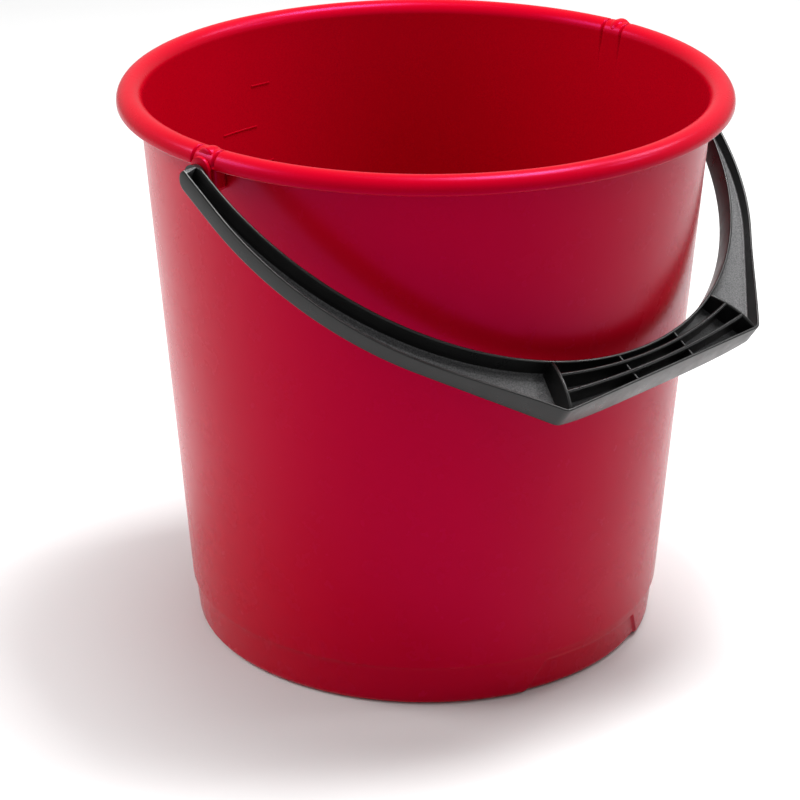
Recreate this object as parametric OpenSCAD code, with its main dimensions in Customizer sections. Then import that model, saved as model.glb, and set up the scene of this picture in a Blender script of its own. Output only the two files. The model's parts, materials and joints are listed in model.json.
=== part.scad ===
// Household wash bucket with a bail handle that snaps into it.
//
// The real object is two injection mouldings, and each is one node: the bucket, with its rolled
// lip, pivot lugs, foot ring and tipping recesses, and the handle, with its channel arms, ribbed
// grip and pivot pins.
//
// Frame: the origin is on the bucket's axis in the plane that it stands on, and +Z is up. The
// pivots lie along X, and the handle rests against the front of the wall, towards -Y.

/* [Bucket] */
// Height to the crest of the rolled lip
bucket_h = 272; // [250:1:290]
// Diameter over the rolled lip
lip_d = 290; // [280:1:300]
// Radius of the rolled lip's section
lip_r = 6.2; // [5.6:0.1:6.8]
// Thickness of the wall and the lip
wall_t = 1.9; // [1.6:0.1:2.4]
// Slope of the wall away from vertical, in degrees
wall_slope = 4.3; // [3:0.1:5]
// Top of the floor above the base
floor_z = 23.5; // [23:0.5:26]
// Thickness of the floor
floor_t = 2.5; // [2:0.1:3]
// Radius between the floor and the wall inside
floor_fillet = 5; // [3:0.5:8]

/* [Foot ring] */
// Height of the ledge where the foot ring meets the wall
foot_h = 21; // [19:0.5:21]
// How far the ring is set in below the ledge
ledge = 0.9; // [0.5:0.1:1.5]
// Outer radius of the flat that the ring stands on
foot_flat_r = 109.6; // [108:0.2:110.5]
// Rounding of the ring's bottom edge
foot_round = 3.6; // [2:0.2:4.2]
// Width of the flat that the ring stands on
foot_flat_w = 2.2; // [1.8:0.1:3]
// Height of the two tipping recesses
recess_h = 16.8; // [14:0.2:17]
// Half width of a recess at the base
recess_base = 42; // [36:1:46]
// Half width of a recess at its top
recess_top = 31.5; // [28:0.5:35]
// How deep a recess is set into the ring
recess_depth = 1.6; // [1:0.1:2]

/* [Pivots] */
// Depth of the pivot axis below the lip's crest
pivot_drop = 10.5; // [10:0.5:12]
// How far the pivot axis is set forward of the bucket's axis
pivot_set = 2.6; // [0:0.1:3]
// Distance from the bucket's axis to a lug's outer face
lug_face = 146.5; // [146:0.5:147]
// Half width of a lug, and the radius of its arched top
lug_r = 5.75; // [5.5:0.05:6.2]
// Height of a lug's inner lobe above the lip's crest
lug_rise = 0.8; // [0.4:0.1:1.2]
// Depth of a lug's outer plate below the lip's crest
plate_drop = 2.6; // [2:0.1:4]
// Length of a lug below the lip's crest
lug_len = 20; // [18:0.5:24]
// Radius of the pivot bore
bore_r = 3.6; // [3.5:0.05:3.7]
// Radial clearance of the pin in the bore
pin_clearance = 0.07; // [0.05:0.01:0.1]
// Height of the pin's snap bead
bead = 0.5; // [0.4:0.05:0.6]

/* [Handle] */
// Angle of the resting handle below the horizontal, in degrees
rest_angle = 34.5; // [31:0.5:35]
// Radius of the handle's inner edge
inner_r = 149.7; // [149.5:0.1:151]
// Distance of the inner edge's centre from the pivot axis
inner_drop = 9.8; // [8.5:0.1:12]
// Half width over the two arms
half_w = 156.5; // [156:0.5:160]
// Radius of the arms' outer edge
outer_r = 148.6; // [146:0.2:166]
// Distance of the outer edge's centre from the pivot axis
outer_drop = 22.9; // [15:0.1:24]
// Turn of the arms before they run straight to the grip, in degrees
arm_turn = 44; // [42:1:46]
// Distance of the grip's outer edge from the pivot axis
grip_reach = 174.3; // [173:0.1:178]
// Depth of the channel at its inner flange
arm_h = 11.2; // [10:0.1:12]
// Height of the channel's middle above the pivot axis
arm_lift = 1.5; // [0.5:0.1:1.8]
// Thickness of the flanges
flange_t = 2; // [1.8:0.1:2.4]
// Thickness of the web
web_t = 2.5; // [2:0.1:3]
// How much lower the outer flange is along the arms
outer_step = 3.2; // [2:0.1:5]
// How far the grip's front wall bows down at its middle
belly = 4.5; // [3:0.5:5]
// Height of the grip's ribs above the flanges
crown = 2.2; // [1.5:0.1:2.5]
// Thickness of the grip's ribs
rib_t = 1.7; // [1.4:0.1:2]

/* [Hidden] */
$fn = 96;

RED = [0.76, 0.01, 0.06];
BLACK = [0.06, 0.06, 0.065];
OVER = 1; // how far a cutter runs past what it cuts
BACKING = 2.2; // wall behind a tipping recess
ring_t = 2.4; // thickness of the foot ring's side

// The rolled lip's section is half a ring about this point.
lip_cr = lip_d / 2 - lip_r;
lip_cz = bucket_h - lip_r;
pivot_z = bucket_h - pivot_drop;
lobe_z = bucket_h + lug_rise - lug_r;
plate_z = bucket_h - plate_drop - lug_r;
bore_end = lip_cr - lip_r + wall_t + 0.7;
plate_w = 2;
neck_w = 1.4;
neck_depth = 1;
bead_w = 1.8;
bead_x = bore_end + 2;

channel_bottom = arm_lift - arm_h / 2;
channel_top = arm_lift + arm_h / 2;
web_top = channel_bottom + web_t;
tip_r = arm_h / 2;
hub_r = 5;
hub_gap = 0.8;
rib_end_inner = 56;
rib_end_outer = 66.5;
cross_rib_x = 19.5;
cross_rib_t = 1.2;
corner_r = 6;
CORNER_STEPS = 8;
belly_half = 64;

// Outer radius of the conical wall at a height.
function wall_r(z) = lip_cr - lip_r + wall_t - tan(wall_slope) * (lip_cz - z);
// Outer radius of the foot ring at a height.
function foot_r(z) = let (low = foot_flat_r + foot_round, high = wall_r(foot_h) - ledge)
    low + (high - low) * (z - foot_round) / (foot_h - foot_round);
// Radius of an arc through the middle and the ends of a chord, from half the chord and the rise.
function arc_r(half, rise) = (half * half + rise * rise) / (2 * rise);
// Distance of the handle's inner edge from the pivot axis at x.
function inner_edge(x) = inner_drop + sqrt(inner_r * inner_r - x * x);

// ---- Bucket -------------------------------------------------------------------------------

// Section of the wall between the foot ring's ledge and the rolled lip.
module wall_section() {
    polygon([
        [wall_r(foot_h), foot_h],
        [wall_r(lip_cz), lip_cz],
        [wall_r(lip_cz) - wall_t, lip_cz],
        [wall_r(foot_h) - wall_t, foot_h],
    ]);
}

// Section of the lip: the wall rolled outwards through half a turn.
module lip_section() {
    translate([lip_cr, lip_cz])
        difference() {
            circle(lip_r);
            circle(lip_r - wall_t);
            translate([-2 * lip_r, -2 * lip_r])
                square([4 * lip_r, 2 * lip_r]);
        }
}

// Section of the floor, with the radius that joins it to the wall.
module floor_section() {
    top_r = wall_r(floor_z + floor_fillet) - wall_t;
    translate([0, floor_z - floor_t])
        square([wall_r(floor_z) - wall_t / 2, floor_t]);
    difference() {
        polygon([
            [top_r - floor_fillet, floor_z - floor_t / 2],
            [wall_r(floor_z) - wall_t / 2, floor_z - floor_t / 2],
            [top_r + wall_t / 2, floor_z + floor_fillet],
            [top_r - floor_fillet, floor_z + floor_fillet],
        ]);
        translate([top_r - floor_fillet, floor_z + floor_fillet])
            circle(floor_fillet);
    }
}

// Section of the foot ring, which runs up into the floor and turns in towards a flat that it
// stands on.
module foot_section() {
    top = floor_z - floor_t / 2;
    bend = foot_round + OVER;
    polygon([
        [foot_r(foot_h) - ring_t, top],
        [foot_r(foot_h) - OVER / 2, top],
        [foot_r(foot_h), foot_h],
        [foot_flat_r + foot_round, foot_round],
        [foot_flat_r, 0],
        [foot_flat_r - foot_flat_w, 0],
        [foot_r(bend) - ring_t, bend],
    ]);
    intersection() {
        translate([foot_flat_r, foot_round])
            circle(foot_round);
        translate([foot_flat_r, 0])
            square(foot_round);
    }
}

// The turned shapes start between a lug and a recess, so that their seams cross neither.
module turned() {
    rotate(45)
        rotate_extrude()
            children();
}

module shell() {
    turned() {
        wall_section();
        lip_section();
        floor_section();
    }
}

module foot_ring() {
    difference() {
        union() {
            turned()
                foot_section();
            for (side = [0, 180])
                rotate(side)
                    recess_backing();
        }
        for (side = [0, 180])
            rotate(side)
                recess_cut();
    }
}

// A tipping recess's outline from the front, grown by a margin and run along Y from the axis.
module recess_prism(margin, base = 0) {
    rotate([90, 0, 0])
        linear_extrude(height = lip_d / 2)
            polygon([
                [-recess_base - margin, base],
                [recess_base + margin, base],
                [recess_top + margin, recess_h + margin / 2],
                [-recess_top - margin, recess_h + margin / 2],
            ]);
}

module recess_cut() {
    difference() {
        recess_prism(0, -OVER);
        rotate_extrude()
            polygon([
                [0, -2 * OVER],
                [foot_r(-2 * OVER) - recess_depth, -2 * OVER],
                [foot_r(foot_h) - recess_depth, foot_h],
                [0, foot_h],
            ]);
    }
}

// The wall that closes the back of a recess.
module recess_backing() {
    inset = recess_depth + BACKING;
    intersection() {
        recess_prism(BACKING);
        rotate_extrude()
            polygon([
                [foot_r(0) - inset, 0],
                [foot_r(0) - recess_depth / 2, 0],
                [foot_r(foot_h) - recess_depth / 2, foot_h + floor_t / 4],
                [foot_r(foot_h) - inset, foot_h + floor_t / 4],
            ]);
    }
}

// A pivot lug on the +X side, drawn with the pivot axis in the plane Y = 0. Its inner lobe rises
// through the lip and ends in a dome inside it. A neck joins the lobe to a lower plate, which
// faces the handle and carries the blind bore for the pin.
module lug() {
    start = wall_r(pivot_z) - wall_t / 2;
    plate_x = lug_face - plate_w;
    neck_x = plate_x - neck_w;
    along_x(start, neck_x)
        lug_sides(lobe_z, lug_r);
    along_x(lip_cr, neck_x)
        translate([0, lobe_z])
            circle(lug_r);
    translate([lip_cr, 0, lobe_z])
        sphere(lug_r);
    along_x(lip_cr, lug_face - plate_w / 2)
        lug_outline(plate_z, lug_r - neck_depth);
    along_x(plate_x, lug_face)
        lug_outline(plate_z, lug_r);
}

// Extrudes a (y, z) outline along X.
module along_x(start, end) {
    translate([start, 0, 0])
        rotate([90, 0, 90])
            linear_extrude(height = end - start)
                children();
}

module lug_outline(top, half) {
    lug_sides(top, half);
    translate([0, top])
        circle(half);
}

// A lug's straight sides below its arch, and the cut corners at its bottom.
module lug_sides(top, half) {
    bottom = bucket_h - lug_len + lug_r - half;
    cut = half / 2;
    polygon([
        [-half, top],
        [-half, bottom + cut],
        [-half + cut, bottom],
        [half - cut, bottom],
        [half, bottom + cut],
        [half, top],
    ]);
}

// What a lug must not fill: the blind bore, its snap groove, and the inside of the bucket.
module lug_bore() {
    translate([bore_end, 0, pivot_z])
        rotate([0, 90, 0])
            cylinder(r = bore_r, h = lug_face);
    translate([bead_x - 0.3, 0, pivot_z])
        rotate([0, 90, 0])
            cylinder(r = bore_r + bead + 0.2, h = bead_w + 0.6);
}

module inside() {
    rotate_extrude()
        polygon([
            [0, floor_z],
            [wall_r(floor_z) - wall_t, floor_z],
            [wall_r(lip_cz) - wall_t, lip_cz],
            [0, lip_cz],
        ]);
}

// Copies a shape drawn on the +X side to both ends of the pivot axis.
module at_pivots() {
    for (side = [0, 1])
        mirror([side, 0, 0])
            translate([0, -pivot_set, 0])
                children();
}

module bucket() {
    color(RED) {
        difference() {
            union() {
                shell();
                foot_ring();
                difference() {
                    at_pivots()
                        lug();
                    inside();
                }
            }
            at_pivots()
                lug_bore();
        }
    }
}

// ---- Handle -------------------------------------------------------------------------------
// It is drawn flat, with the pivot axis along X through the origin and the grip towards -Y.

// One half of the area inside the handle's outer edge, moved in by a distance.
module outer_half(inset) {
    r = outer_r - inset;
    side = half_w - inset;
    turn = [side - r + r * cos(arm_turn), outer_drop + r * sin(arm_turn)];
    reach = grip_reach - inset;
    corner_x = turn[0] - (reach - turn[1]) * tan(arm_turn);
    intersection() {
        translate([side - r, -outer_drop])
            circle(r, $fn = 256);
        translate([-OVER, -turn[1]])
            square([2 * half_w, turn[1] - outer_drop]);
    }
    translate([-OVER, -outer_drop])
        square([side + OVER, outer_drop + tip_r]);
    polygon(concat(
        [[-OVER, -reach], [-OVER, -turn[1]], [turn[0], -turn[1]]],
        corner_points(corner_x, reach, corner_r - inset)
    ));
}

// The rounded corner between the straight arm and the grip, as points from the arm to the grip.
function corner_points(x, reach, r) =
    let (centre = [x - r / tan(arm_turn / 2 + 45), r - reach])
    [for (i = [0:CORNER_STEPS])
        let (turn = arm_turn + (90 - arm_turn) * i / CORNER_STEPS)
        centre + r * [cos(turn), -sin(turn)]];

module outer_area(inset = 0) {
    outer_half(inset);
    mirror([1, 0])
        outer_half(inset);
}

// The area inside the handle's inner edge, grown by a distance.
module inner_area(grow = 0) {
    translate([0, -inner_drop])
        circle(inner_r + grow, $fn = 256);
    translate([-inner_r - grow, -inner_drop])
        square([2 * (inner_r + grow), inner_drop + 2 * tip_r]);
}

module layer(bottom, top) {
    translate([0, 0, bottom])
        linear_extrude(height = top - bottom)
            children();
}

module web() {
    layer(channel_bottom, web_top)
        difference() {
            outer_area();
            inner_area();
        }
}

module inner_flange() {
    layer(channel_bottom, channel_top)
        difference() {
            intersection() {
                inner_area(flange_t);
                outer_area();
            }
            inner_area();
        }
}

// The outer flange is full height round the grip and steps down along the arms.
module outer_flange() {
    rise = [outer_edge_at(0.35), outer_edge_at(0.75)];
    difference() {
        layer(channel_bottom, channel_top)
            difference() {
                outer_area();
                outer_area(flange_t);
            }
        rotate([90, 0, 90])
            translate([0, 0, -lip_d])
                linear_extrude(height = 2 * lip_d)
                    polygon([
                        [2 * tip_r, channel_top - outer_step],
                        [-rise[0], channel_top - outer_step],
                        [-rise[1], channel_top],
                        [-rise[1], channel_top + OVER],
                        [2 * tip_r, channel_top + OVER],
                    ]);
    }
}

// Distance from the pivot axis of a point on the straight run to the grip, by its share of it.
function outer_edge_at(share) = let (turn = outer_drop + outer_r * sin(arm_turn))
    turn + share * (grip_reach - turn);

// The grip's front wall reaches lower at its middle, along an arc.
module front_belly() {
    r = arc_r(belly_half, belly);
    intersection() {
        translate([-belly_half - OVER, -grip_reach, channel_bottom - belly - OVER])
            cube([2 * (belly_half + OVER), flange_t, web_t + belly + OVER]);
        translate([0, 0, channel_bottom - belly + r])
            rotate([90, 0, 0])
                cylinder(r = r, h = 2 * grip_reach, $fn = 256);
    }
}

// The ribbed part of the grip, between its two slanting end ribs.
module grip_area(grow = 0) {
    inner = inner_edge(rib_end_inner) - flange_t;
    polygon([
        [-rib_end_inner - grow, -inner],
        [rib_end_inner + grow, -inner],
        [rib_end_outer + grow, -grip_reach + flange_t / 2],
        [-rib_end_outer - grow, -grip_reach + flange_t / 2],
    ]);
}

// The end ribs arch up between the inner edge and the corners.
module end_ribs() {
    near = inner_edge(rib_end_inner);
    r = arc_r((grip_reach - near) / 2, crown);
    intersection() {
        layer(channel_bottom, channel_top + crown)
            difference() {
                grip_area();
                grip_area(-rib_t);
                inner_area();
            }
        translate([-lip_d, -(near + grip_reach) / 2, channel_top + crown - r])
            rotate([0, 90, 0])
                cylinder(r = r, h = 2 * lip_d);
    }
}

// Two long ribs share the grip's width, so each bows less than the edge behind it.
module long_ribs() {
    middle = inner_edge(0);
    end = inner_edge(rib_end_inner);
    for (share = [1 / 3, 2 / 3]) {
        at_middle = middle + share * (grip_reach - middle);
        at_end = end + share * (grip_reach - end);
        r = arc_r(rib_end_inner, at_middle - at_end);
        layer(channel_bottom, channel_top + 0.85 * crown)
            intersection() {
                grip_area(-rib_t / 2);
                translate([0, r - at_middle])
                    difference() {
                        circle(r + rib_t / 2, $fn = 256);
                        circle(r - rib_t / 2, $fn = 256);
                    }
            }
    }
}

module cross_ribs() {
    for (side = [-1, 1])
        layer(channel_bottom, channel_top)
            translate([side * cross_rib_x - cross_rib_t / 2, -grip_reach + flange_t / 2])
                square([cross_rib_t, grip_reach - flange_t - inner_edge(cross_rib_x)]);
}

// The web wraps round each arm's end as half a ring, between the flanges.
module tip_walls() {
    for (side = [-1, 1])
        translate([side * (half_w + inner_r) / 2, 0, arm_lift])
            rotate([0, 90, 0])
                difference() {
                    cylinder(r = tip_r, h = half_w - inner_r, center = true);
                    cylinder(r = tip_r - flange_t, h = half_w, center = true);
                    translate([-2 * tip_r, -4 * tip_r, -half_w / 2])
                        cube([4 * tip_r, 4 * tip_r, half_w]);
                }
}

// Everything beyond the arms' rounded ends.
module tip_cut() {
    rotate([0, 90, 0])
        translate([-arm_lift, 0, -half_w - OVER])
            difference() {
                translate([-2 * tip_r, 0, 0])
                    cube([4 * tip_r, 4 * tip_r, 2 * (half_w + OVER)]);
                cylinder(r = tip_r, h = 2 * (half_w + OVER));
            }
}

// A pivot pin, with the hub that spaces the arm off the lug and the bead that snaps in.
module pin() {
    length = inner_r + flange_t / 2;
    rotate([0, 90, 0]) {
        translate([0, 0, bore_end + 1])
            cylinder(r = bore_r - pin_clearance, h = length - bore_end - 1);
        translate([0, 0, bead_x])
            cylinder(r = bore_r + bead - 0.1, h = bead_w);
        translate([0, 0, lug_face + hub_gap])
            cylinder(r = hub_r, h = length - lug_face - hub_gap);
    }
}

module bail_handle() {
    color(BLACK)
        translate([0, -pivot_set, pivot_z])
            rotate([rest_angle, 0, 0]) {
                difference() {
                    union() {
                        web();
                        inner_flange();
                        outer_flange();
                        front_belly();
                        end_ribs();
                        long_ribs();
                        cross_ribs();
                    }
                    tip_cut();
                }
                tip_walls();
                pin();
                mirror([1, 0, 0])
                    pin();
            }
}

bucket();
bail_handle();
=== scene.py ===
# Looks for the wash bucket: a red bucket moulding and its black bail handle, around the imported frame.
# Sizes are in millimetres until a mesh is made, and every piece lands in the frame in metres.
import json
import math

import bmesh
import bpy
from mathutils import Matrix, Vector


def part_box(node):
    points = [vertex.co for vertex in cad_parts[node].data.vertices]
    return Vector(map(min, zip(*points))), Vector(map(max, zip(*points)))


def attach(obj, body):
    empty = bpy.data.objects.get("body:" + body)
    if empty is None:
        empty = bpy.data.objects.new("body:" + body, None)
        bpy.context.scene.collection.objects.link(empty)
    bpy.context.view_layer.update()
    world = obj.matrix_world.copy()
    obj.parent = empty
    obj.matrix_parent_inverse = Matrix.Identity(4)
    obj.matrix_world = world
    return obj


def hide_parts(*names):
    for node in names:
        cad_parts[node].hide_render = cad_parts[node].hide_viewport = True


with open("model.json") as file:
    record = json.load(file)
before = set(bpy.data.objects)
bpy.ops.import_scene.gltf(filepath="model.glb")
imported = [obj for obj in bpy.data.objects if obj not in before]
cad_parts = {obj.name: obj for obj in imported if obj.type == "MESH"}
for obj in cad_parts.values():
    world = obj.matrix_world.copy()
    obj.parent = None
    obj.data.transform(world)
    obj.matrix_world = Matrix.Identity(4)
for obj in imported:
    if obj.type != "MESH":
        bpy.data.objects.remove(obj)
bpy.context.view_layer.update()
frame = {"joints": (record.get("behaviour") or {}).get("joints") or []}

MM = 0.001
LITRE = 1e6
BUCKET_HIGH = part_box("bucket")[1] / MM
HANDLE_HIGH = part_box("bail_handle")[1] / MM
PIVOT_Y = frame["joints"][0]["pos_m"][1] / MM
PIVOT_Z = frame["joints"][0]["pos_m"][2] / MM

# Lip and wall. The lip's section is a circle about (LIP_CR, LIP_CZ).
LUG_RISE = 0.8
RIM_Z = BUCKET_HIGH.z - LUG_RISE
LIP_OUT = BUCKET_HIGH.y
LIP_R = 6.2
LIP_CR = LIP_OUT - LIP_R
LIP_CZ = RIM_Z - LIP_R
LIP_SKIRT = 0.7
WALL_T = 1.9
WALL_SLOPE = math.tan(math.radians(4.3))
FLOOR_Z = 23.5
FLOOR_T = 2.5
FLOOR_FILLET = 5.0

# Lugs: a lobe over the lip, a neck, and a lower plate with the bore
LUG_R = 5.75
LUG_LENGTH = 20.0
LUG_FACE = BUCKET_HIGH.x
LOBE_Z = BUCKET_HIGH.z - LUG_R
LOBE_ROUND = 1.5
PLATE_DROP = 2.6
PLATE_Z = RIM_Z - PLATE_DROP - LUG_R
PLATE_X = LUG_FACE - 2.0
PLATE_ROUND = 0.5
NECK_X = PLATE_X - 1.4
NECK_R = LUG_R - 1.6
BORE_R = 3.6
BORE_END = LIP_CR - LIP_R + WALL_T + 0.7
GROOVE_DEPTH = 1.2
GROOVE_W = 0.62
GROOVE_GAP = 0.75

# Foot ring and tipping recesses. RECESS_FOLLOW is in degrees either side of a recess's edge.
FOOT_H = 21.0
LEDGE = 0.9
FOOT_FLAT_R = 109.6
FOOT_FLAT_W = 2.2
FOOT_ROUND = 3.6
RING_T = 2.4
RECESS_H = 16.8
RECESS_BASE = 42.0
RECESS_TOP = 31.5
RECESS_DEPTH = 1.6
RECESS_EASE = 1.2
RECESS_FOLLOW = 9

# Litre lines: heights of the top two, and azimuths of their ends in degrees
TEN_LITRES_Z = 238.3
NINE_LITRES_Z = 217.3
EVEN_LINE = (80.8, 85.7)
ODD_LINE = (84.9, 95.1)
LINE_RISE = 0.28
LINE_HALF_H = 0.45
LINE_TOP_HALF_H = 0.3

# Handle, drawn flat: u along the pivot axis, v out to the grip, w up
REST_ANGLE = math.radians(34.5)
HALF_W = HANDLE_HIGH.x
INNER_R = 149.7
INNER_DROP = 9.8
OUTER_R = 148.6
OUTER_DROP = 22.9
ARM_TURN = math.radians(44)
GRIP_REACH = 174.3
CORNER_R = 6.0
LIFT = 1.5
TIP_R = 5.6
TIP_V = 3.0
TOP = LIFT + TIP_R
BOTTOM = LIFT - TIP_R
FLANGE_T = 1.4
WEB_T = 2.5
WEB_TOP = BOTTOM + WEB_T
OUTER_STEP = 3.2
LOW_ROUND = 0.8
TOP_ROUND = 0.55
WEB_FILLET = 0.6

# Grip: how far its front wall bows down, and its ribs
BELLY = 4.6
BELLY_HALF = 66.0
CROWN = 2.2
RIB_T = 1.7
RIB_FOOT = WEB_TOP - 1.2
RIB_END_INNER = 56.0
RIB_END_OUTER = 66.5
LONG_RIB_TOP = TOP + 0.85 * CROWN
CROSS_RIB_TOP = TOP - 0.3
CROSS_RIB_U = 19.5
CROSS_RIB_T = 1.1

# Pivot pin
PIN_R = 3.52
PIN_CHAMFER = 0.6
BEAD = 0.45
HUB_R = 5.0
HUB_GAP = 0.8


# ---- Mesh helpers -------------------------------------------------------------------------

def spread(start, end, steps):
    """steps + 1 values from start to end."""
    return [start + (end - start) * i / steps for i in range(steps + 1)]


def arc(centre, radius, start, end, steps):
    """Points of an arc in a plane, from start to end in degrees."""
    turns = [math.radians(a) for a in spread(start, end, steps)]
    return [(centre[0] + radius * math.cos(a), centre[1] + radius * math.sin(a)) for a in turns]


def clamp(x, low=0.0, high=1.0):
    return max(low, min(high, x))


def smooth(x):
    x = clamp(x)
    return x * x * (3 - 2 * x)


class Shells:
    """Closed shells gathered into one mesh, in millimetres."""

    WELD = 0.004 * MM

    def __init__(self):
        self.points = []
        self.faces = []
        self.marks = []

    def skin(self, rings, around=True, along=False, caps=True, mark=None):
        """Joins rings of points by quads. mark gives a quad's material from its place round the ring.

        around closes each ring, and along joins the last ring to the first.
        """
        base = len(self.points)
        count = len(rings[0])
        for ring in rings:
            self.points.extend(ring)
        last = len(rings) if along else len(rings) - 1
        for i in range(last):
            j = (i + 1) % len(rings)
            for k in range(count if around else count - 1):
                m = (k + 1) % count
                here, there = base + i * count, base + j * count
                self.faces.append((here + k, here + m, there + m, there + k))
                self.marks.append(mark(k) if mark else 0)
        if caps and not along:
            end = base + (len(rings) - 1) * count
            self.faces.append(tuple(base + k for k in reversed(range(count))))
            self.faces.append(tuple(end + k for k in range(count)))
            self.marks.extend([0, 0])

    def make(self, name, materials, place=None, sharp_angle=38):
        """One object from all the shells, with smooth shading up to an angle between faces in degrees."""
        mesh = bpy.data.meshes.new(name)
        bm = bmesh.new()
        made = [bm.verts.new(Vector(p) * MM) for p in self.points]
        bm.verts.ensure_lookup_table()
        for face, mark in zip(self.faces, self.marks):
            bm.faces.new([made[k] for k in face]).material_index = mark
        bmesh.ops.remove_doubles(bm, verts=bm.verts, dist=self.WELD)
        bmesh.ops.dissolve_degenerate(bm, edges=bm.edges, dist=self.WELD)
        bmesh.ops.recalc_face_normals(bm, faces=bm.faces)
        bm.to_mesh(mesh)
        bm.free()
        if place is not None:
            mesh.transform(place)
        mesh.shade_smooth()
        mesh.set_sharp_from_angle(angle=math.radians(sharp_angle))
        for material in materials:
            mesh.materials.append(material)
        piece = bpy.data.objects.new(name, mesh)
        bpy.context.scene.collection.objects.link(piece)
        return piece


# ---- Materials ----------------------------------------------------------------------------

class Nodes:
    """A material's node tree, with short calls for the nodes used here."""

    def __init__(self, name):
        self.material = bpy.data.materials.new(name)
        self.material.use_nodes = True
        self.tree = self.material.node_tree
        self.shader = self.tree.nodes["Principled BSDF"]
        self.place = self.add("ShaderNodeTexCoord").outputs["Object"]

    def add(self, kind, **settings):
        node = self.tree.nodes.new(kind)
        for key, value in settings.items():
            setattr(node, key, value)
        return node

    def link(self, source, target):
        self.tree.links.new(source, target)

    def noise(self, scale, detail=2.0, roughness=0.5, stretch=(1, 1, 1)):
        mapping = self.add("ShaderNodeMapping")
        mapping.inputs["Scale"].default_value = stretch
        self.link(self.place, mapping.inputs["Vector"])
        node = self.add("ShaderNodeTexNoise")
        node.inputs["Scale"].default_value = scale
        node.inputs["Detail"].default_value = detail
        node.inputs["Roughness"].default_value = roughness
        self.link(mapping.outputs["Vector"], node.inputs["Vector"])
        return node.outputs["Fac"]

    def ramp(self, value, stops):
        node = self.add("ShaderNodeValToRGB")
        ramp = node.color_ramp
        while len(ramp.elements) < len(stops):
            ramp.elements.new(0.5)
        for element, (place, colour) in zip(ramp.elements, stops):
            element.position = place
            element.color = (*colour, 1)
        self.link(value, node.inputs["Fac"])
        return node.outputs["Color"]

    def remap(self, value, low, high, start=0.3, end=0.7):
        node = self.add("ShaderNodeMapRange")
        node.inputs["From Min"].default_value = start
        node.inputs["From Max"].default_value = end
        node.inputs["To Min"].default_value = low
        node.inputs["To Max"].default_value = high
        self.link(value, node.inputs["Value"])
        return node.outputs["Result"]

    def bump(self, height, strength, distance):
        node = self.add("ShaderNodeBump")
        node.inputs["Strength"].default_value = strength
        node.inputs["Distance"].default_value = distance
        self.link(height, node.inputs["Height"])
        return node.outputs["Normal"]

    def set(self, **values):
        for key, value in values.items():
            self.shader.inputs[key.replace("_", " ")].default_value = value


def red_plastic():
    """Satin polypropylene. Its skin is pigmented, so reflections come back crimson rather than white."""
    n = Nodes("bucket_red")
    streaks = n.noise(9, 3, stretch=(1, 1, 0.4))
    tone = n.ramp(streaks, [(0.35, (0.385, 0.0001, 0.007)), (0.65, (0.405, 0.0002, 0.009))])
    n.link(tone, n.shader.inputs["Base Color"])
    n.link(n.remap(n.noise(60, 4, 0.6), 0.24, 0.29), n.shader.inputs["Roughness"])
    grain = n.bump(n.noise(1400, 2), 0.02, 0.0001)
    n.link(grain, n.shader.inputs["Normal"])
    n.set(IOR=1.49, Specular_Tint=(1.0, 0.03, 0.8, 1.0), Specular_IOR_Level=0.2)
    return n.material


def black_plastic():
    """Fine-grained polypropylene on the handle's outer faces and ribs."""
    n = Nodes("handle_black")
    tone = n.ramp(n.noise(40, 3), [(0.35, (0.004, 0.004, 0.004)), (0.65, (0.007, 0.007, 0.007))])
    n.link(tone, n.shader.inputs["Base Color"])
    n.link(n.remap(n.noise(120, 4, 0.6), 0.26, 0.38), n.shader.inputs["Roughness"])
    grain = n.bump(n.noise(2200, 2, 0.6), 0.2, 0.00012)
    n.link(grain, n.shader.inputs["Normal"])
    n.set(IOR=1.5, Specular_IOR_Level=0.38)
    return n.material


def grained_painted_lit_plastic():
    """The spark-eroded grain on the channel's floor. Its base colour is a lighter grey than the handle's
    black: painted light, for the up-facing floor lit from above.
    """
    n = Nodes("handle_grained_painted_lit")
    # Painted light: the lighter grey base colour stands in for light falling on the up-facing channel
    # floor. The spread of tone within it is random grain.
    tone = n.ramp(n.noise(1500, 2), [(0.35, (0.03, 0.03, 0.031)), (0.65, (0.11, 0.11, 0.113))])
    n.link(tone, n.shader.inputs["Base Color"])
    n.link(n.remap(n.noise(900, 3, 0.6), 0.38, 0.55), n.shader.inputs["Roughness"])
    grain = n.bump(n.noise(1300, 3, 0.65), 0.7, 0.0003)
    n.link(grain, n.shader.inputs["Normal"])
    n.set(IOR=1.5)
    return n.material


# ---- Bucket -------------------------------------------------------------------------------

def wall_r(z):
    """Outer radius of the conical wall at a height."""
    return LIP_CR - LIP_R + WALL_T - WALL_SLOPE * (LIP_CZ - z)


def foot_r(z):
    """Outer radius of the foot ring at a height."""
    low = FOOT_FLAT_R + FOOT_ROUND
    high = wall_r(FOOT_H) - LEDGE
    return low + (high - low) * (z - FOOT_ROUND) / (FOOT_H - FOOT_ROUND)


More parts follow.
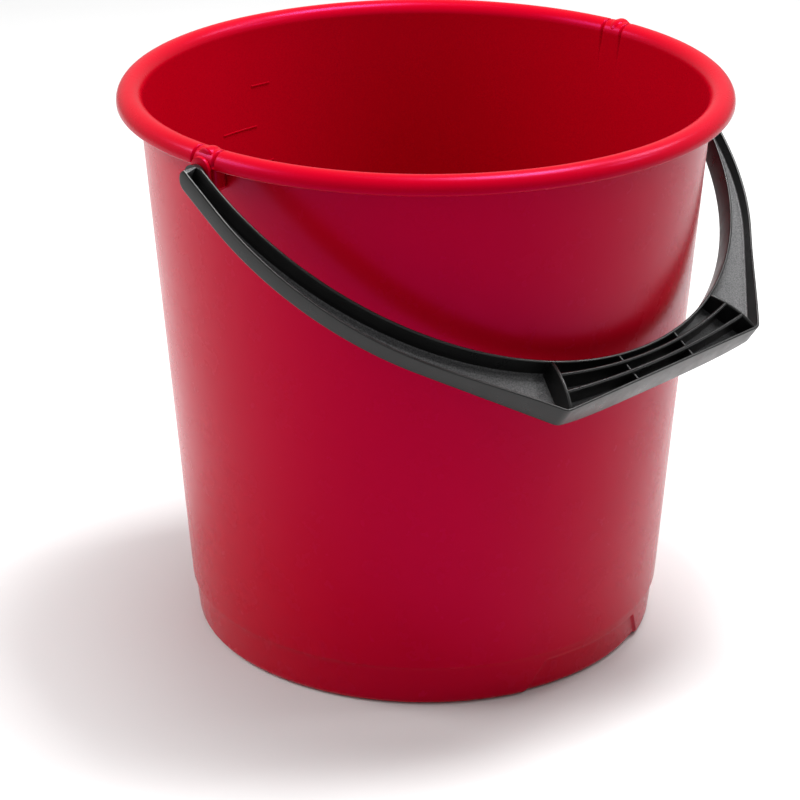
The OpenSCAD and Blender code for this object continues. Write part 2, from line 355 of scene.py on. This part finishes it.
def foot_profile():
    """From the axis under the floor, down inside the foot ring, round its base and up to the ledge."""
    under = FLOOR_Z - FLOOR_T
    inside_top = foot_r(FOOT_H) - RING_T
    bend = FOOT_ROUND + 1
    inside_bend = foot_r(bend) - RING_T
    points = [(0, under), (6, under), (60, under), (inside_top - 1.6, under)]
    points += arc((inside_top - 1.5, under - 1.5), 1.5, 90, 0, 4)
    points += [(inside_top + (inside_bend - inside_top) * s, under + (bend - under) * s)
               for s in (0.3, 0.6)]
    points += [(inside_bend, bend), (FOOT_FLAT_R - FOOT_FLAT_W, 0.3), (FOOT_FLAT_R - FOOT_FLAT_W + 0.3, 0)]
    points += arc((FOOT_FLAT_R, FOOT_ROUND), FOOT_ROUND, -90, 0, 9)
    heights = [6, 9, 12, 14.6, *spread(RECESS_H - 1.4, RECESS_H, 5), 18.4, FOOT_H - 0.35]
    points += [(foot_r(z), z) for z in heights]
    points += [(foot_r(FOOT_H) + 0.08, FOOT_H - 0.08), (foot_r(FOOT_H) + 0.35, FOOT_H)]
    return points


def wall_profile():
    """From the ledge up the wall, over the rolled lip and down inside to the floor."""
    points = arc((wall_r(FOOT_H + 0.3) - 0.3, FOOT_H + 0.3), 0.3, -90, 0, 3)
    points += [(wall_r(z), z) for z in (FOOT_H + 1.5, 40, 80, 120, 160, 200, 235, 255, 262)]
    points += arc((LIP_CR, LIP_CZ), LIP_R - WALL_T, 180, 0, 16)
    points += arc((LIP_OUT - WALL_T / 2, LIP_CZ - LIP_SKIRT), WALL_T / 2, 180, 360, 8)
    points += arc((LIP_CR, LIP_CZ), LIP_R, 0, 180, 36)
    fillet_z = FLOOR_Z + FLOOR_FILLET
    fillet_r = wall_r(fillet_z) - WALL_T - FLOOR_FILLET
    points += [(wall_r(z) - WALL_T, z) for z in (255, 245, 230, 200, 160, 120, 80, 45, fillet_z + 3)]
    points += arc((fillet_r, fillet_z), FLOOR_FILLET, -4, -90, 8)
    points += [(70, FLOOR_Z), (5, FLOOR_Z), (0, FLOOR_Z)]
    return points


def side_columns():
    """Azimuths in degrees round the bucket, closer together beside the lugs and the recesses.

    The second value is the azimuth from a recess's middle to its edge.
    """
    columns = set(spread(0, 358.75, 287))
    set_back = math.degrees(math.asin(PIVOT_Y / LIP_OUT))
    for centre in (set_back, 180 - set_back):
        for side in (-1, 1):
            columns |= {(centre + side * a) % 360 for a in spread(1.9, 4.1, 22)}
    edge = math.degrees(math.asin(RECESS_TOP / foot_r(RECESS_H)))
    for centre in (90, 270):
        for side in (-1, 1):
            columns |= {(centre + side * (edge + a)) % 360
                        for a in (-0.75, -0.45, -0.25, 0, 0.25, 0.45, 0.75)}
    columns = sorted(columns)
    return [a for i, a in enumerate(columns) if a - columns[i - 1] > 0.04 or i == 0], edge


def recess_shift(azimuth, edge, r, z):
    """Azimuth and depth of a foot ring point, moved by the nearest tipping recess."""
    centre = 90 if azimuth < 180 else 270
    off = azimuth - centre
    share = clamp((RECESS_H - z) / RECESS_H)
    half = RECESS_TOP + (RECESS_BASE - RECESS_TOP) * share
    edge_here = math.degrees(math.asin(half / r)) if r > half else edge
    follow = clamp(1 - abs(abs(off) - edge) / RECESS_FOLLOW)
    depth = smooth(edge + 0.5 - abs(off)) * smooth((RECESS_H - z) / RECESS_EASE)
    moved = off + math.copysign((edge_here - edge) * follow, off)
    return centre + moved, depth * RECESS_DEPTH


def lip_groove(r, z, azimuth):
    """Narrow grooves across the lip on either side of a pivot lug."""
    from_tube = math.hypot(r - LIP_CR, z - LIP_CZ)
    if from_tube < LIP_R - 0.05 or z < LIP_CZ:
        return r, z
    along = abs(LIP_OUT * math.sin(math.radians(azimuth)) - PIVOT_Y)
    depth = GROOVE_DEPTH * math.exp(-((along - LUG_R - GROOVE_GAP) / GROOVE_W) ** 2)
    scale = (LIP_R - depth) / from_tube
    return LIP_CR + (r - LIP_CR) * scale, LIP_CZ + (z - LIP_CZ) * scale


def add_bucket_shell(shells):
    foot = foot_profile()
    wall = wall_profile()
    columns, edge = side_columns()
    rings = []
    for azimuth in columns:
        ring = []
        for i, (r, z) in enumerate(foot + wall):
            angle = azimuth
            if i < len(foot) and r > 90:
                angle, depth = recess_shift(azimuth, edge, r, z)
                r -= depth
            elif i >= len(foot):
                r, z = lip_groove(r, z, azimuth)
            a = math.radians(angle)
            ring.append((r * math.cos(a), r * math.sin(a), z))
        rings.append(ring)
    shells.skin(rings, around=False, along=True)


def lug_outline(r, top, steps=10):
    """(y, z) round a lug at one distance from the axis: the arch, then straight sides and cut corners."""
    bottom = RIM_Z - LUG_LENGTH
    cut = r / 2
    points = arc((0, top), r, 0, 180, 2 * steps)
    points += [(-r, z) for z in spread(top - 1, bottom + cut, 3)]
    points += [(-r + cut, bottom), (0, bottom), (r - cut, bottom)]
    points += [(r, z) for z in spread(bottom + cut, top - 1, 3)]
    return points


def add_lug(shells, side):
    """The pivot lug: a dome inside the lip, a lobe over it, a neck, and a plate that faces the handle."""
    stations = [(LIP_CR - LUG_R * math.cos(t), LUG_R * math.sin(t), LOBE_Z)
                for t in (math.radians(a) for a in (8, 20, 32, 44, 56, 68, 80, 90))]
    stations += [(NECK_X - LOBE_ROUND - 0.1, LUG_R, LOBE_Z)]
    stations += [(x, r, LOBE_Z)
                 for x, r in arc((NECK_X - LOBE_ROUND, LUG_R - LOBE_ROUND), LOBE_ROUND, 70, 10, 3)]
    stations += [(NECK_X + 0.1, NECK_R, PLATE_Z), (PLATE_X - 0.05, NECK_R + 0.2, PLATE_Z)]
    bevel = 0.3 * PLATE_ROUND
    stations += [(PLATE_X, LUG_R - PLATE_ROUND, PLATE_Z), (PLATE_X + bevel, LUG_R - bevel, PLATE_Z)]
    stations += [(PLATE_X + PLATE_ROUND, LUG_R, PLATE_Z), (LUG_FACE - PLATE_ROUND, LUG_R, PLATE_Z)]
    stations += [(LUG_FACE - bevel, LUG_R - bevel, PLATE_Z), (LUG_FACE, LUG_R - PLATE_ROUND, PLATE_Z)]
    rings = [[(side * x, PIVOT_Y + y, z) for y, z in lug_outline(r, top)] for x, r, top in stations]
    bore = []
    for y, z in lug_outline(LUG_R, PLATE_Z):
        a = math.atan2(z - PIVOT_Z, y)
        bore.append((math.cos(a), math.sin(a)))
    for x, r in ((LUG_FACE, BORE_R + 0.25), (LUG_FACE - 0.25, BORE_R), (BORE_END, BORE_R)):
        rings.append([(side * x, PIVOT_Y + r * y, PIVOT_Z + r * z) for y, z in bore])
    shells.skin(rings)


def litre_heights():
    """Heights of the litre lines from 10 down to 1, which lie further apart as the wall narrows."""
    heights = [TEN_LITRES_Z, NINE_LITRES_Z]
    while len(heights) < 10:
        inner_r = wall_r(heights[-1]) - WALL_T
        heights.append(heights[-1] - LITRE / (math.pi * inner_r * inner_r))
    return heights


def add_litre_line(shells, z, start, end):
    """A fine raised line inside the wall, between two azimuths in degrees. Its foot is sunk in the wall."""
    r = wall_r(z) - WALL_T
    rings = []
    for a in (math.radians(a) for a in spread(start, end, 24)):
        outline = [(r + 0.5, z - LINE_HALF_H), (r - LINE_RISE, z - LINE_TOP_HALF_H)]
        outline += [(r - LINE_RISE, z + LINE_TOP_HALF_H), (r + 0.5, z + LINE_HALF_H)]
        rings.append([(x * math.cos(a), x * math.sin(a), y) for x, y in outline])
    shells.skin(rings)


def make_bucket(red):
    shells = Shells()
    add_bucket_shell(shells)
    for side in (-1, 1):
        add_lug(shells, side)
    for i, z in enumerate(litre_heights()):
        add_litre_line(shells, z, *(ODD_LINE if i % 2 else EVEN_LINE))
    return shells.make("bucket_moulding", [red])


# ---- Handle -------------------------------------------------------------------------------

def outer_outline():
    """The handle's outer edge for u above 0, from the pivot to the middle of the grip.

    Each point is (u, v, normal angle). The start of the straight run and the corner's centre follow.
    """
    side = HALF_W - OUTER_R
    turn = (side + OUTER_R * math.cos(ARM_TURN), OUTER_DROP + OUTER_R * math.sin(ARM_TURN))
    corner_u = turn[0] - (GRIP_REACH - turn[1]) * math.tan(ARM_TURN)
    centre = (corner_u - CORNER_R / math.tan(ARM_TURN / 2 + math.pi / 4), GRIP_REACH - CORNER_R)
    points = [(HALF_W, v, 0.0) for v in spread(0, OUTER_DROP, 16)]
    points += [(side + OUTER_R * math.cos(a), OUTER_DROP + OUTER_R * math.sin(a), a)
               for a in spread(0, ARM_TURN, 200)[1:]]
    points += [(centre[0] + CORNER_R * math.cos(a), centre[1] + CORNER_R * math.sin(a), a)
               for a in spread(ARM_TURN, math.pi / 2, 40)]
    points += [(u, GRIP_REACH, math.pi / 2) for u in spread(centre[0], 0, 60)[1:]]
    return points, turn, centre


OUTLINE, TURN, CORNER = outer_outline()


def bearing(u, v):
    """Direction of a point from the centre of the inner edge."""
    return math.atan2(v - INNER_DROP, u)


def on_outline(direction):
    """The outer edge's point and normal angle in one direction from the inner edge's centre."""
    for (u0, v0, a0), (u1, v1, a1) in zip(OUTLINE, OUTLINE[1:]):
        d0, d1 = bearing(u0, v0), bearing(u1, v1)
        if d0 <= direction <= d1 + 1e-9:
            s = (direction - d0) / (d1 - d0)
            return u0 + (u1 - u0) * s, v0 + (v1 - v0) * s, a0 + (a1 - a0) * s
    return OUTLINE[-1]


def station_directions():
    """Directions of the sections from the inner edge's centre, closer together round the corner."""
    corner = bearing(CORNER[0] + 4, GRIP_REACH)
    fine = {corner + math.radians(a) for a in spread(-2.4, 2.4, 24)}
    coarse = {math.radians(a) for a in spread(0, 90, 60)}
    return sorted(fine | {a for a in coarse if abs(a - corner) > math.radians(2.6)})


def rise_share(v):
    """How far along its straight run to the grip a point of the outer edge is."""
    return (v - TURN[1]) / (GRIP_REACH - TURN[1])


def section(inner, inner_n, outer, outer_n, top_i, top_o, web_i, web_o, low, low_o):
    """A ring of points round the channel at one station.

    It starts under the outer flange, passes under the web, goes up the inner edge, down into the channel,
    along the web's top and over the outer flange. A flange no higher than its web closes up flat.
    """
    points = []

    def put(edge, normal, offset, w):
        points.append((edge[0] + normal[0] * offset, -(edge[1] + normal[1] * offset), w))

    def turn(edge, normal, offset, w, radius, start, end, steps=4):
        for x, y in arc((offset, w), radius, start, end, steps):
            put(edge, normal, x, y)

    r_low = min(LOW_ROUND, 0.4 * (min(top_i, top_o) - low))
    r_top = min(TOP_ROUND, 0.4 * (min(top_i, top_o) - low))
    r_skirt = min(r_low, low - low_o)
    turn(outer, outer_n, r_low, low_o + r_low, r_low, 180, 270)
    turn(outer, outer_n, FLANGE_T - r_skirt, low_o + r_skirt, r_skirt, 270, 360)
    put(outer, outer_n, FLANGE_T, low)
    put(inner, inner_n, FLANGE_T, low)
    turn(inner, inner_n, r_low, low + r_low, r_low, 270, 180)
    turn(inner, inner_n, r_top, top_i - r_top, r_top, 180, 90)
    r_in = min(r_top, top_i - web_i)
    turn(inner, inner_n, FLANGE_T - r_in, top_i - r_in, r_in, 90, 0)
    fillet = clamp(top_i - web_i - r_in, 0, WEB_FILLET)
    turn(inner, inner_n, FLANGE_T + fillet, web_i + fillet, fillet, 180, 270)
    fillet = clamp(top_o - web_o - r_top, 0, WEB_FILLET)
    turn(outer, outer_n, FLANGE_T + fillet, web_o + fillet, fillet, 270, 180)
    r_in = min(r_top, top_o - web_o)
    turn(outer, outer_n, FLANGE_T - r_in, top_o - r_in, r_in, 0, 90)
    turn(outer, outer_n, r_top, top_o - r_top, r_top, 90, 180)
    return points


def tip_sections():
    """Round the arm's end: the flanges end in discs, and the web turns up into an end wall."""
    rings = []
    web_r = TIP_R - WEB_T

    def ring(v, web=None):
        half = math.sqrt(TIP_R * TIP_R - v * v)
        top_o = min(LIFT + half, TOP - OUTER_STEP)
        top_i = LIFT + half
        web_i, web_o = (top_i, top_o) if web is None else (min(web, top_i), min(web, top_o))
        rings.append(section((INNER_R, v + TIP_V), (1, 0), (HALF_W, v + TIP_V), (-1, 0),
                             top_i, top_o, web_i, web_o, LIFT - half, LIFT - half))

    for a in (84, 72, 62, 53, 45, 38):
        ring(-TIP_R * math.sin(math.radians(a)))
    ring(-web_r - 0.02)
    for a in (90, 75, 60, 45, 30, 15, 0):
        v = -web_r * math.sin(math.radians(a))
        ring(v, LIFT - web_r * math.cos(math.radians(a)))
    return rings


def arm_sections():
    """From an arm's tip round to the middle of the grip."""
    rings = []
    for v in (TIP_V + 2, TIP_V + 4):
        rings.append(section((INNER_R, v), (1, 0), (HALF_W, v), (-1, 0), TOP, TOP - OUTER_STEP,
                             WEB_TOP, WEB_TOP, BOTTOM, BOTTOM))
    for direction in station_directions():
        n = (math.cos(direction), math.sin(direction))
        inner = (INNER_R * n[0], INNER_DROP + INNER_R * n[1])
        u, v, a = on_outline(direction)
        top_o = TOP - OUTER_STEP * (1 - smooth(rise_share(v)))
        belly = BELLY * (1 - clamp(u / BELLY_HALF) ** 4) if v > GRIP_REACH - 2.5 else 0
        rings.append(section(inner, n, (u, v), (-math.cos(a), -math.sin(a)), TOP, top_o,
                             WEB_TOP, WEB_TOP, BOTTOM, BOTTOM - belly))
    return rings


def add_channel(shells):
    """The channel from tip to tip. The web's top gets the second material, whose lighter grey is painted
    light.
    """
    half = tip_sections() + arm_sections()
    other = [[(-u, y, w) for u, y, w in ring] for ring in reversed(half[:-1])]
    count = len(half[0])
    # The web's top faces, which get the second material's lighter grey of painted light
    web = range(count - 20, count - 11)
    shells.skin(half + other, mark=lambda k: int(k in web))


def add_wall(shells, path, thickness, top, bottom=RIB_FOOT, cap=0.5):
    """A rib along a path of (u, v) points. top gives its height from the share of the path.

    cap is the rounding of its top edges, as a share of its thickness.
    """
    rings = []
    for i, (u, v) in enumerate(path):
        u0, v0 = path[max(i - 1, 0)]
        u1, v1 = path[min(i + 1, len(path) - 1)]
        length = math.hypot(u1 - u0, v1 - v0)
        n = ((v1 - v0) / length, -(u1 - u0) / length)
        high = top(i / (len(path) - 1))
        half = thickness / 2
        r = cap * thickness
        outline = [(-half, bottom), (half, bottom)]
        outline += arc((half - r, high - r), r, 0, 90, 5)
        outline += arc((r - half, high - r), r, 90, 180, 5)
        rings.append([(u + n[0] * x, -(v + n[1] * x), w) for x, w in outline])
    shells.skin(rings)


def inner_edge(u):
    """Distance of the inner edge from the pivot axis."""
    return INNER_DROP + math.sqrt(INNER_R * INNER_R - u * u)


def end_rib_top(share):
    """Height of an end rib, which arches up between the grip's two edges."""
    return TOP - 0.25 + (CROWN + 0.1) * math.sin(math.pi * share) ** 0.7


def add_ribs(shells):
    """Two arched end ribs, two long ribs between them, and two low cross ribs."""
    near = inner_edge(RIB_END_INNER) + 0.6
    far = GRIP_REACH - 0.6
    lean = RIB_END_OUTER - RIB_END_INNER - 0.8
    for side in (-1, 1):
        path = [(side * (RIB_END_INNER + lean * s), near + (far - near) * s)
                for s in spread(0, 1, 24)]
        add_wall(shells, path, RIB_T, end_rib_top)
    for share in (1 / 3, 2 / 3):
        middle = inner_edge(0) + share * (GRIP_REACH - inner_edge(0))
        end = inner_edge(RIB_END_INNER) + share * (GRIP_REACH - inner_edge(RIB_END_INNER))
        half = RIB_END_INNER + share * (RIB_END_OUTER - RIB_END_INNER) - 0.6
        sag = middle - end
        path = [(u, middle - sag * (u / half) ** 2) for u in spread(-half, half, 56)]
        add_wall(shells, path, RIB_T, lambda share: LONG_RIB_TOP)
    for side in (-1, 1):
        u = side * CROSS_RIB_U
        path = [(u, v) for v in spread(inner_edge(u) + 1, GRIP_REACH - 1, 12)]
        add_wall(shells, path, CROSS_RIB_T, lambda share: CROSS_RIB_TOP, cap=0.35)


def add_pin(shells, side):
    """The pivot pin with its snap bead, and the hub between the arm and the lug."""
    bead = BORE_END + 2
    hub = LUG_FACE + HUB_GAP
    profile = [(BORE_END + 1, PIN_R - PIN_CHAMFER), (BORE_END + 1.5, PIN_R), (bead - 0.1, PIN_R)]
    profile += [(bead + 0.5, PIN_R + BEAD), (bead + 1.2, PIN_R + BEAD), (bead + 1.8, PIN_R), (hub, PIN_R)]
    profile += [(hub, HUB_R - 0.35), (hub + 0.1, HUB_R - 0.1), (hub + 0.35, HUB_R)]
    profile += [(INNER_R - 0.5, HUB_R), (INNER_R - 0.1, HUB_R + 0.2), (INNER_R + 1, HUB_R + 0.2)]
    rings = [[(side * x, y, w) for y, w in arc((0, 0), r, 0, 352.5, 47)] for x, r in profile]
    shells.skin(rings)


def make_handle(black, grained_painted_lit):
    shells = Shells()
    add_channel(shells)
    add_ribs(shells)
    for side in (-1, 1):
        add_pin(shells, side)
    place = Matrix.Translation((0, PIVOT_Y * MM, PIVOT_Z * MM)) @ Matrix.Rotation(REST_ANGLE, 4, "X")
    return shells.make("bail_handle_moulding", [black, grained_painted_lit], place, sharp_angle=44)


# ---- Stage --------------------------------------------------------------------------------

# Camera place and floor size in metres, lens in millimetres
CAMERA_AT = Vector((-0.9222, -0.8660, 0.6577))
CAMERA_AIM = Vector((0.6625, 0.6341, -0.3988))
LENS = 126.0
FLOOR_HALF = 6.0


def add_floor():
    mesh = bpy.data.meshes.new("floor")
    corners = [(-FLOOR_HALF, -FLOOR_HALF, 0), (FLOOR_HALF, -FLOOR_HALF, 0)]
    corners += [(FLOOR_HALF, FLOOR_HALF, 0), (-FLOOR_HALF, FLOOR_HALF, 0)]
    mesh.from_pydata(corners, [], [(0, 1, 2, 3)])
    white = Nodes("floor_white")
    white.set(Base_Color=(0.69, 0.69, 0.69, 1), Roughness=0.7)
    mesh.materials.append(white.material)
    floor = bpy.data.objects.new("floor", mesh)
    bpy.context.scene.collection.objects.link(floor)


def add_light(name, place, target, size, power, mirrored=True):
    """A soft rectangular light. One that isn't mirrored lights surfaces but doesn't show in their gloss."""
    data = bpy.data.lights.new(name, "AREA")
    data.shape = "RECTANGLE"
    data.size, data.size_y = size
    data.energy = power
    light = bpy.data.objects.new(name, data)
    light.visible_glossy = mirrored
    light.location = place
    light.rotation_euler = (Vector(target) - Vector(place)).to_track_quat("-Z", "Y").to_euler()
    bpy.context.scene.collection.objects.link(light)


def add_camera():
    data = bpy.data.cameras.new("camera")
    data.lens = LENS
    data.sensor_width = 36
    data.clip_start, data.clip_end = 0.05, 50
    camera = bpy.data.objects.new("camera", data)
    camera.location = CAMERA_AT
    camera.rotation_euler = CAMERA_AIM.to_track_quat("-Z", "Y").to_euler()
    bpy.context.scene.collection.objects.link(camera)
    bpy.context.scene.camera = camera


def add_world():
    world = bpy.data.worlds.new("studio")
    world.use_nodes = True
    background = world.node_tree.nodes["Background"]
    background.inputs["Color"].default_value = (1, 1, 1, 1)
    background.inputs["Strength"].default_value = 0.42
    bpy.context.scene.world = world


def make_stage():
    add_floor()
    add_camera()
    add_world()
    add_light("left_softbox", (-0.82, 0.84, 1.15), (0, 0, 0.2), (0.75, 0.4), 9)
    add_light("left_fill", (-1.00, 0.75, 0.75), (0, 0, 0.15), (1.0, 1.2), 5, mirrored=False)
    add_light("right_softbox", (0.78, -0.87, 1.15), (0, 0, 0.2), (0.2, 0.3), 2.3)
    add_light("key_light", (0.48, -0.20, 1.85), (0, 0, 0.1), (0.6, 0.6), 36)
    add_light("grip_softbox", (1.05, -0.38, 1.35), (0, -0.1, 0.2), (0.35, 0.35), 5)
    add_light("top_fill", (0.05, 0.05, 1.6), (0, 0, 0.1), (0.6, 0.6), 12, mirrored=False)
    scene = bpy.context.scene
    scene.view_settings.view_transform = "Standard"


red = red_plastic()
black = black_plastic()
grained_painted_lit = grained_painted_lit_plastic()

bucket = make_bucket(red)
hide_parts("bucket")
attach(bucket, "bucket")

handle = make_handle(black, grained_painted_lit)
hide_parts("bail_handle")
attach(handle, "bail")

make_stage()
